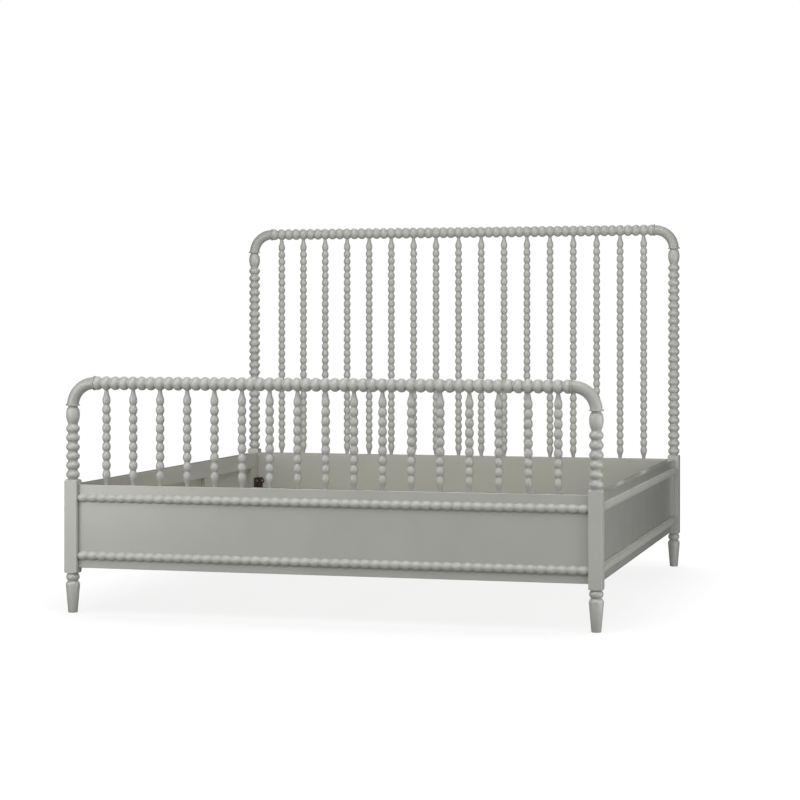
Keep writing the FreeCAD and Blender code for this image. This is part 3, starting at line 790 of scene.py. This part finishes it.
def spindle_outline(end, low, high):
    """A teardrop, round beads and a teardrop, from the panel's top edge to the rail."""
    teardrop = TEARDROP_LENGTH[end]
    first = low + teardrop
    last = high - teardrop
    count, pitch = fitted(last - first, SPINDLE_PITCH)
    waist = TEARDROP_CREST + (teardrop - TEARDROP_CREST) * TEARDROP_WAIST_SHARE
    hollow = TEARDROP_TIP_RADIUS + (TEARDROP_WAIST_RADIUS - TEARDROP_TIP_RADIUS) * TEARDROP_HOLLOW_SHARE
    hollow_at = (teardrop + waist) / 2
    flank, neck, cove = SPINDLE_FLANK, SPINDLE_NECK, SPINDLE_COVE
    turning = Outline(low, TEARDROP_TIP_RADIUS)
    turning.arc((first - hollow_at, hollow), (first - waist, TEARDROP_WAIST_RADIUS), SPINDLE_BEAD_STEPS)
    turning.arc((first - TEARDROP_CREST, TEARDROP_RADIUS), (first - cove, flank), SPINDLE_BEAD_STEPS)
    turning.arc((first, neck), (first + cove, flank), COVE_STEPS)
    turning.beads(first, pitch, count, SPINDLE_CREST, flank, neck, cove, SPINDLE_BEAD_STEPS)
    turning.arc((last, neck), (last + cove, flank), COVE_STEPS)
    turning.arc(
        (last + TEARDROP_CREST, TEARDROP_RADIUS), (last + waist, TEARDROP_WAIST_RADIUS), SPINDLE_BEAD_STEPS
    )
    turning.arc((last + hollow_at, hollow), (high, TEARDROP_TIP_RADIUS), SPINDLE_BEAD_STEPS)
    turning.line(high + SPINDLE_SOCKET_DEPTH, TEARDROP_TIP_RADIUS)
    return turning.points


def make_spindles(shape, paint):
    """Each end's spindles are copies of one turning in a row."""
    for end in ENDS:
        nodes = spindle_nodes(end)
        low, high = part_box(nodes[0])
        start = (low + high) / 2
        outline = spindle_outline(end, low.z + SPINDLE_TENON_LENGTH, high.z - SPINDLE_SOCKET_DEPTH)
        places = [(start.x, start.y, along) for along, _ in outline]
        radii = [radius for _, radius in outline]
        row = {"copies": SPINDLES, "spacing": (spindle_step(end), 0, 0)}
        mesh = sweep(f"{end} spindles", places, radii, shape, paint, SPINDLE_CREST, SPINDLE_NECK, **row)
        piece(f"{end}_spindles", mesh, nodes)


# Mouldings


def moulding_outline(half):
    count, pitch = fitted(2 * half, MOULDING_PITCH)
    turning = Outline(-half, MOULDING_NECK)
    turning.line(MOULDING_COVE - half, MOULDING_FLANK)
    turning.beads(
        -half, pitch, count, MOULDING_CREST, MOULDING_FLANK, MOULDING_NECK, MOULDING_COVE, BEAD_STEPS
    )
    turning.line(half, MOULDING_NECK)
    return turning.points


def make_moulding(node, shape, paint, forward, face):
    """Two half-round strips on a board's face; forward is the way that has the face on its right hand."""
    low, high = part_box(node)
    length = abs((high - low).dot(forward))
    outline = moulding_outline(length / 2)
    upper = high.z - MOULDING_CREST
    lower = low.z + MOULDING_CREST
    places = [Vector((face.x, face.y, upper)) + forward * along for along, _ in outline]
    radii = [radius for _, radius in outline]
    row = {"copies": 2, "spacing": (0, 0, lower - upper)}
    mesh = sweep(node, places, radii, shape, paint, MOULDING_CREST, MOULDING_NECK, **row)
    piece(f"beaded_{node}", mesh, [node])


def make_mouldings(shape, paints):
    inset = MOULDING_CREST - MOULDING_DEPTH
    foot_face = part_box("foot_panel")[0].y + inset
    make_moulding("foot_mouldings", shape, paints["X"], Vector((1, 0, 0)), Vector((0, foot_face, 0)))
    for side, way in SIDES.items():
        low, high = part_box(f"side_frame_{side}")
        face = way * (max(abs(low.x), abs(high.x)) - inset)
        forward = Vector((0, way, 0))
        make_moulding(f"side_mouldings_{side}", shape, paints["Y"], forward, Vector((face, 0, 0)))


# Boards


def add_board(work, low, high, arris):
    """Adds a box with lightly rounded edges to a mesh in the making."""
    size = high - low
    made = bmesh.ops.create_cube(work, size=1.0)
    place = Matrix.Translation((low + high) / 2) @ Matrix.Diagonal((*size, 1))
    bmesh.ops.transform(work, matrix=place, verts=made["verts"])
    edges = {edge for vert in made["verts"] for edge in vert.link_edges}
    bmesh.ops.bevel(work, geom=list(edges), offset=arris, segments=EDGE_STEPS, profile=0.5, affect="EDGES")


def board_mesh(name, boxes, paint, arris):
    work = bmesh.new()
    for low, high in boxes:
        add_board(work, Vector(low), Vector(high), arris)
    mesh = bpy.data.meshes.new(name)
    work.to_mesh(mesh)
    work.free()
    mesh.materials.append(paint)
    mesh.shade_smooth()
    mesh.set_sharp_from_angle(angle=CREASE)
    return mesh


def level_faces(thing):
    """Keeps wide faces flat in the light, and leaves the turn at an edge to its narrow rounding."""
    level = thing.modifiers.new("level faces", "WEIGHTED_NORMAL")
    level.keep_sharp = True


def make_end_panels(paint):
    for end in ENDS:
        node = f"{end}_panel"
        low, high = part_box(node)
        shoulder = Vector((PANEL_TENON_LENGTH, 0, 0))
        mesh = board_mesh(node, [(low + shoulder, high - shoulder)], paint, PANEL_ROUND)
        level_faces(piece(f"{node}_board", mesh, [node]))


def side_boxes(side, way):
    """Rails along the bed, and stiles and stiffeners across them, of one side rail."""
    low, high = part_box(f"side_frame_{side}")
    opening_low = low.z + SIDE_BOTTOM_RAIL
    opening_high = high.z - SIDE_TOP_RAIL
    rails = [
        (Vector((low.x, low.y, opening_high)), high),
        (low, Vector((high.x, high.y, opening_low))),
    ]
    uprights = [
        (Vector((low.x, low.y, opening_low)), Vector((high.x, low.y + SIDE_STILE, opening_high))),
        (Vector((low.x, high.y - SIDE_STILE, opening_low)), Vector((high.x, high.y, opening_high))),
    ]
    panel_low, panel_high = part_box(f"side_panel_{side}")
    inner = low.x if way > 0 else panel_high.x
    outer = panel_low.x if way > 0 else high.x
    for end in (-1, 1):
        near = end * STIFFENER_OFFSET - STIFFENER_WIDTH / 2
        far = near + STIFFENER_WIDTH
        uprights.append((Vector((inner, near, opening_low)), Vector((outer, far, opening_high))))
    return rails, uprights


def make_side_rails(along_paint, upright_paint):
    for side, way in SIDES.items():
        rails, uprights = side_boxes(side, way)
        mesh = board_mesh(f"{side} rails", rails, along_paint, BOARD_ARRIS)
        level_faces(piece(f"side_rails_{side}", mesh, [f"side_frame_{side}"]))
        mesh = board_mesh(f"{side} uprights", uprights, upright_paint, BOARD_ARRIS)
        level_faces(piece(f"side_uprights_{side}", mesh, [f"side_frame_{side}"]))
        mesh = board_mesh(f"{side} panel", [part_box(f"side_panel_{side}")], along_paint, BOARD_ARRIS)
        level_faces(piece(f"side_board_{side}", mesh, [f"side_panel_{side}"]))


# Slats and webbing


def slat_step():
    low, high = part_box("slats")
    return (high.y - low.y - SLAT_WIDTH) / (SLATS - 1)


def make_slats(wood):
    low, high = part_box("slats")
    middle = (low + high) / 2
    first = low.y + SLAT_WIDTH / 2
    shape = board_section(SLAT_WIDTH, high.z - low.z, SLAT_ROUND)
    places = [(low.x, first, middle.z), (high.x, first, middle.z)]
    row = {"copies": SLATS, "spacing": (0, slat_step(), 0)}
    mesh = sweep("slats", places, [1, 1], shape, wood, **row)
    bpy.data.objects.remove(shape)
    level_faces(piece("slat_row", mesh, ["slats"], SLAT_BODY))


def strap_places(x):
    """A strap's line: flat under each slat and hanging a little between two slats."""
    low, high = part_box("slat_webbing")
    slat_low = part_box("slats")[0].y
    level = (low.z + high.z) / 2
    gap = slat_step() - SLAT_WIDTH
    places = [(x, low.y, level)]
    for number in range(SLATS - 1):
        near = slat_low + SLAT_WIDTH + number * slat_step()
        for step in range(STRAP_STEPS + 1):
            share = step / STRAP_STEPS
            drop = STRAP_SAG * math.sin(math.pi * share) ** 2
            places.append((x, near + gap * share, level - drop))
    places.append((x, high.y, level))
    return places


def make_straps(cloth):
    low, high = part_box("slat_webbing")
    shape = board_section(STRAP_WIDTH, high.z - low.z, STRAP_ROUND)
    for side, way in SIDES.items():
        places = strap_places(way * (high.x - STRAP_WIDTH / 2))
        mesh = sweep("strap", places, [1] * len(places), shape, cloth)
        strap = piece(f"webbing_{side}", mesh, ["slat_webbing"], SLAT_BODY)
    bpy.data.objects.remove(shape)


# Metal


def cut_cross(work):
    """Two crossing bars, as a mesh to cut from a screw's head."""
    bars = ((SLOT_LENGTH, SLOT_WIDTH), (SLOT_WIDTH, SLOT_LENGTH))
    for wide, deep in bars:
        made = bmesh.ops.create_cube(work, size=1.0)
        size = (wide, deep, 2 * SLOT_DEPTH, 1)
        place = Matrix.Translation((0, 0, SCREW_HEIGHT)) @ Matrix.Diagonal(size)
        bmesh.ops.transform(work, matrix=place, verts=made["verts"])


def screw_head(shape, metal):
    """A pan head with a cross cut in its top and a short stub of its shank, its underside at zero."""
    bulge = SCREW_FLAT_RADIUS + (SCREW_RADIUS - SCREW_FLAT_RADIUS) * SCREW_BULGE_SHARE
    turning = Outline(-SCREW_STUB, SCREW_STUB_RADIUS)
    turning.line(-STEP, SCREW_STUB_RADIUS)
    turning.line(0, SCREW_RADIUS)
    turning.arc((SCREW_HEIGHT * SCREW_BULGE_SHARE, bulge), (SCREW_HEIGHT, SCREW_FLAT_RADIUS), CORNER_STEPS)
    places = [(0, 0, along) for along, _ in turning.points]
    radii = [radius for _, radius in turning.points]
    head = link(bpy.data.objects.new("head", sweep("head", places, radii, shape, metal)))
    work = bmesh.new()
    cut_cross(work)
    cross = bpy.data.meshes.new("cross")
    work.to_mesh(cross)
    work.free()
    cutter = link(bpy.data.objects.new("cross", cross))
    cut = head.modifiers.new("cut", "BOOLEAN")
    cut.object = cutter
    cut.use_self = True
    shown = head.evaluated_get(bpy.context.evaluated_depsgraph_get())
    mesh = bpy.data.meshes.new_from_object(shown)
    head.modifiers.clear()
    head.data = mesh
    bpy.data.objects.remove(cutter)
    return head


def screw_spot(points):
    """The point under one screw's head and the way that the head faces."""
    low = Vector(min(point[axis] for point in points) for axis in range(3))
    high = Vector(max(point[axis] for point in points) for axis in range(3))
    size = high - low
    axis = max(range(3), key=lambda number: size[number])
    middle = (low + high) / 2
    wide = max(points, key=lambda point: (point - middle).length_squared - (point[axis] - middle[axis]) ** 2)
    outward = Vector((0, 0, 0))
    outward[axis] = 1 if wide[axis] > middle[axis] else -1
    under = middle.copy()
    under[axis] = wide[axis]
    return under, outward


def screw_spots():
    """Where each screw's head sits and the way it faces, read from the loose solids of the screws' node."""
    work = bmesh.new()
    work.from_mesh(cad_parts["bracket_screws"].data)
    bmesh.ops.remove_doubles(work, verts=work.verts, dist=WELD)
    spots = []
    waiting = set(work.verts)
    while waiting:
        front = {waiting.pop()}
        found = set(front)
        while front:
            front = {edge.other_vert(vert) for vert in front for edge in vert.link_edges} & waiting
            waiting -= front
            found |= front
        spots.append(screw_spot([vert.co.copy() for vert in found]))
    work.free()
    return sorted(spots, key=lambda spot: tuple(spot[0]))


def make_screws(shape, metal):
    spots = screw_spots()
    mesh = bpy.data.meshes.new("spots")
    mesh.from_pydata([spot for spot, _ in spots], [], [])
    outward = mesh.attributes.new("outward", "FLOAT_VECTOR", "POINT")
    for value, (_, way) in zip(outward.data, spots):
        value.vector = way
    points = link(bpy.data.objects.new("spots", mesh))
    head = screw_head(shape, metal)
    made = grown("screws", SCATTER, {"Points": points, "Copied": head, "Material": metal})
    for helper in (points, head):
        bpy.data.objects.remove(helper)
    piece("screw_heads", made, ["bracket_screws"])


def finish_nodes(material, slot, *nodes):
    """Gives CAD nodes that stay in view a material and softly broken edges."""
    for name in nodes:
        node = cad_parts[name]
        node.data.materials.clear()
        node.data.materials.append(material)
        node.data.shade_smooth()
        weld = node.modifiers.new("weld", "WELD")
        weld.merge_threshold = WELD
        bevel = node.modifiers.new("arris", "BEVEL")
        bevel.width = PLATE_ARRIS
        bevel.segments = ARRIS_STEPS
        bevel.limit_method = "ANGLE"
        bevel.angle_limit = CREASE
        level_faces(node)


# Stage


def make_stage():
    """A floor that the camera alone sees: the surroundings already light the bed from below."""
    mesh = bpy.data.meshes.new("floor")
    half = FLOOR_SIZE / 2
    corners = [(-half, -half, 0), (half, -half, 0), (half, half, 0), (-half, half, 0)]
    mesh.from_pydata(corners, [], [(0, 1, 2, 3)])
    mesh.materials.append(studio_floor())
    floor = link(bpy.data.objects.new("floor", mesh))
    floor.visible_diffuse = False
    floor.visible_glossy = False
    floor.visible_shadow = False


def make_lights():
    for name, (place, width, power) in SOFTBOXES.items():
        data = bpy.data.lights.new(name, "AREA")
        data.size = width
        data.energy = power
        light = link(bpy.data.objects.new(name, data))
        light.location = place
        light.visible_glossy = name not in GLINT_FREE
        light.rotation_euler = (Vector(LIGHT_AIM) - Vector(place)).to_track_quat("-Z", "Y").to_euler()


def make_world():
    """White behind the bed, and soft light from the sides and the floor, which the camera doesn't see."""
    world = bpy.data.worlds.new("studio")
    world.use_nodes = True
    tree = world.node_tree
    tree.nodes.clear()
    white = linear("#FFFFFF")
    way = add(tree, "ShaderNodeTexCoord").outputs["Generated"]
    light = 0.0
    for direction, brightness in SKY_SIDES.values():
        facing = add(tree, "ShaderNodeVectorMath", {0: way, 1: direction}, operation="DOT_PRODUCT")
        side = add(tree, "ShaderNodeMapRange", {"Value": facing.outputs["Value"], "To Max": brightness})
        light = add(tree, "ShaderNodeMath", {0: light, 1: side}, operation="ADD")
    lit = add(tree, "ShaderNodeBackground", {"Color": white, "Strength": light})
    seen = add(tree, "ShaderNodeBackground", {"Color": white, "Strength": 1.0})
    camera_ray = add(tree, "ShaderNodeLightPath").outputs["Is Camera Ray"]
    mix = add(tree, "ShaderNodeMixShader", {0: camera_ray, 1: lit, 2: seen})
    add(tree, "ShaderNodeOutputWorld", {"Surface": mix})
    bpy.context.scene.world = world


def make_camera():
    data = bpy.data.cameras.new("camera")
    data.lens = CAMERA_LENS
    data.shift_y = CAMERA_SHIFT_Y
    camera = link(bpy.data.objects.new("camera", data))
    camera.location = CAMERA_PLACE
    camera.rotation_euler = (math.pi / 2, 0, CAMERA_TURN)
    bpy.context.scene.camera = camera


# The whole bed

SWEEP = sweep_tree()
SCATTER = scatter_tree()
turned = enamels("turnings", TURNED_PAINT)
boards = enamels("boards", BOARD_PAINT)
wood = pine()
round_shape = round_section(ROUND_SIDES)
spindle_shape = round_section(SPINDLE_SIDES)
half_shape = half_round_section(HALF_ROUND_SIDES, (MOULDING_CREST - MOULDING_DEPTH) / MOULDING_CREST)
make_posts(round_shape, turned["Z"])
make_elbows(round_shape, turned["Z"])
make_rails(round_shape, turned["X"])
make_spindles(spindle_shape, turned["Z"])
make_mouldings(half_shape, turned)
make_end_panels(boards["X"])
make_side_rails(boards["Y"], boards["Z"])
make_slats(wood)
make_straps(cotton_tape())
make_screws(spindle_shape, zinc())
finish_nodes(powder_coat(), "bronze_steel", "corner_brackets", "beam_hangers", "centre_beam")
finish_nodes(wood, "bare_pine", "slat_cleats")
for helper in (round_shape, spindle_shape, half_shape):
    bpy.data.objects.remove(helper)
make_stage()
make_lights()
make_world()
make_camera()
bpy.context.scene.view_settings.view_transform = "Standard"
